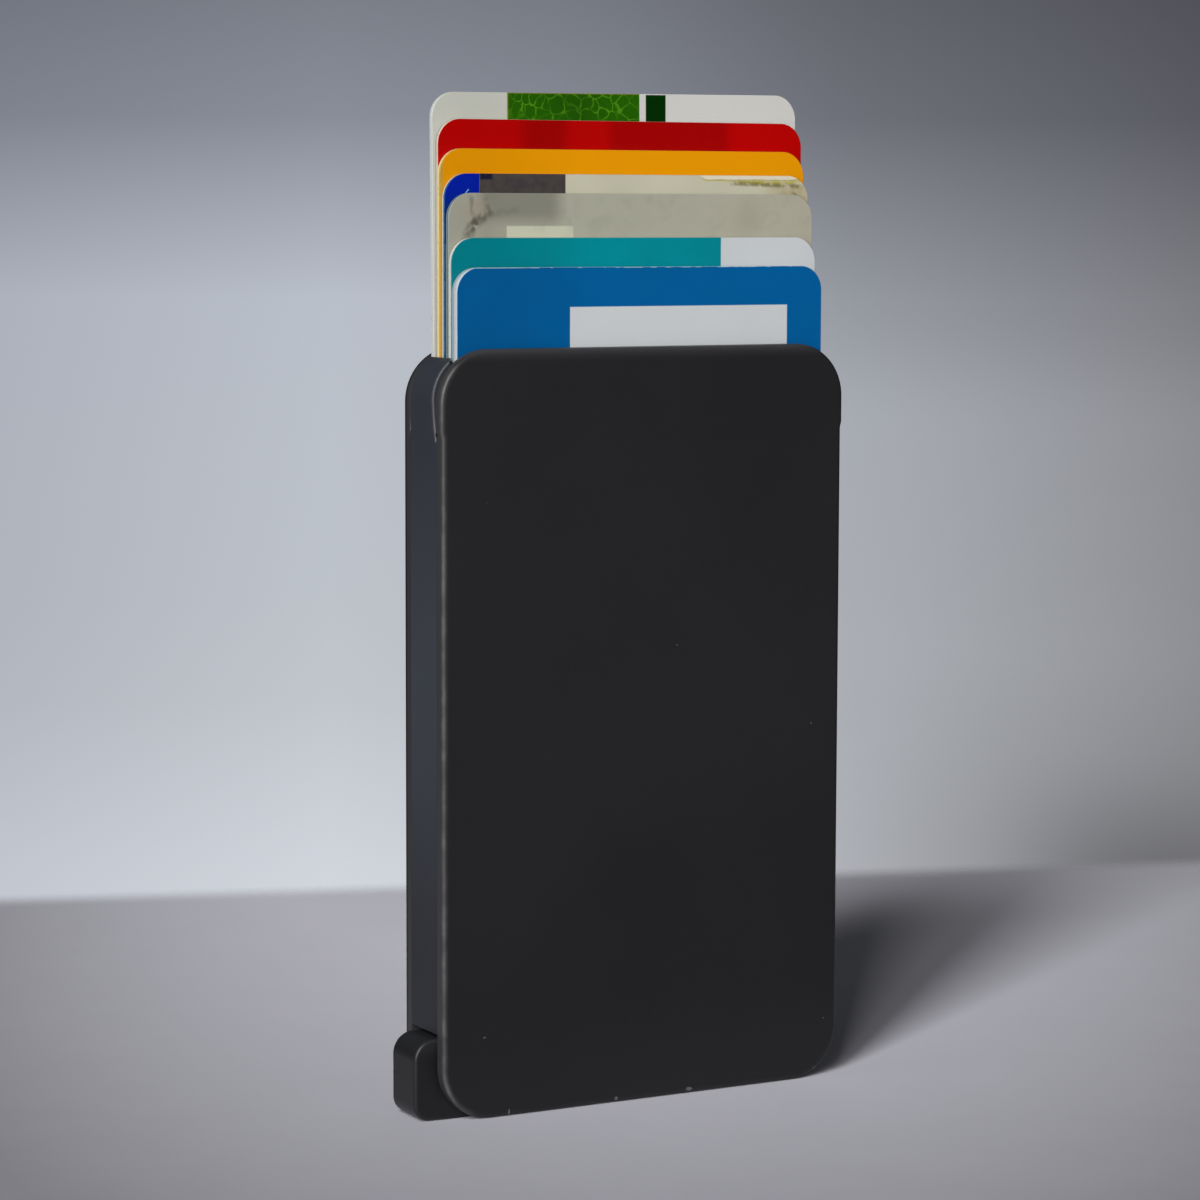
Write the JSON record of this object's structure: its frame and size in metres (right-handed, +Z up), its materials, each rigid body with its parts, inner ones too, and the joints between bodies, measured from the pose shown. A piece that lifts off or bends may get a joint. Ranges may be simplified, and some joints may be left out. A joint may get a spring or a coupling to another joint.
{
  "type": "card wallet",
  "caption": "Slim pop-up card case standing upright: flat moulded covers, a sprung corner lever with stepped fingers, and standard cards fanned out of its mouth.",
  "frame": {"origin": "middle of the flat base that the closed or open wallet stands on", "axes": "+Z up towards the mouth, +X to the right as seen from the front, with the thumb tab on -X, and +Y from the front cover to the back cover"},
  "size_m": [0.0625, 0.011, 0.1316],
  "materials": {
    "front_cover": "matt anthracite, fine grained",
    "back_cover": "matt anthracite, fine grained",
    "left_side_wall": "matt anthracite",
    "right_side_frame": "matt anthracite",
    "ejector_lever": "matt anthracite",
    "pivot_pin": "ground",
    "return_spring": "drawn wire",
    "friction_felt": "pressed black felt",
    "card_1_blue": "printed satin blue with a plain white window",
    "card_2_white": "plain satin white",
    "card_3_teal": "printed satin teal with a plain white end",
    "card_4_frosted": "frosted translucent grey, smudged",
    "card_5_laminated": "worn off-white laminate with blue and grey blocks",
    "card_6_amber": "plain satin amber",
    "card_7_red": "plain satin red",
    "card_8_green_block": "satin white with a green block and a dark green bar"
  },
  "bodies": {
    "case": {"front_cover": "front_cover", "back_cover": "back_cover", "left_side_wall": "left_side_wall", "right_side_frame": "right_side_frame", "pivot_pin": "pivot_pin", "return_spring": "return_spring", "front_friction_pad": "friction_felt", "back_friction_pad": "friction_felt"},
    "lever": {"ejector_lever": "ejector_lever"},
    "card_1": {"card_1_blue": "card_1_blue"},
    "card_2": {"card_2_white": "card_2_white"},
    "card_3": {"card_3_teal": "card_3_teal"},
    "card_4": {"card_4_frosted": "card_4_frosted"},
    "card_5": {"card_5_laminated": "card_5_laminated"},
    "card_6": {"card_6_amber": "card_6_amber"},
    "card_7": {"card_7_red": "card_7_red"},
    "card_8": {"card_8_green_block": "card_8_green_block"}
  },
  "joints": [
    {"name": "lever_press", "type": "hinge", "parent": "case", "child": "lever", "pos_m": [-0.0242, 0, 0.0085], "axis": [0, -1, 0], "range_deg": [0, 44], "stiffness_Nm_per_rad": 0.006, "springref_deg": -28.65, "deforming": ["return_spring"]},
    {"name": "card_1_slide", "type": "slide", "parent": "case", "child": "card_1", "axis": [0, 0, 1], "range_m": [-0.0111, 0.0645]},
    {"name": "card_2_slide", "type": "slide", "parent": "case", "child": "card_2", "axis": [0, 0, 1], "range_m": [-0.0111, 0.0645]},
    {"name": "card_3_slide", "type": "slide", "parent": "case", "child": "card_3", "axis": [0, 0, 1], "range_m": [-0.0149, 0.0607]},
    {"name": "card_4_slide", "type": "slide", "parent": "case", "child": "card_4", "axis": [0, 0, 1], "range_m": [-0.0205, 0.0551]},
    {"name": "card_5_slide", "type": "slide", "parent": "case", "child": "card_5", "axis": [0, 0, 1], "range_m": [-0.023, 0.0526]},
    {"name": "card_6_slide", "type": "slide", "parent": "case", "child": "card_6", "axis": [0, 0, 1], "range_m": [-0.0261, 0.0495]},
    {"name": "card_7_slide", "type": "slide", "parent": "case", "child": "card_7", "axis": [0, 0, 1], "range_m": [-0.0299, 0.0457]},
    {"name": "card_8_slide", "type": "slide", "parent": "case", "child": "card_8", "axis": [0, 0, 1], "range_m": [-0.0336, 0.042]}
  ]
}
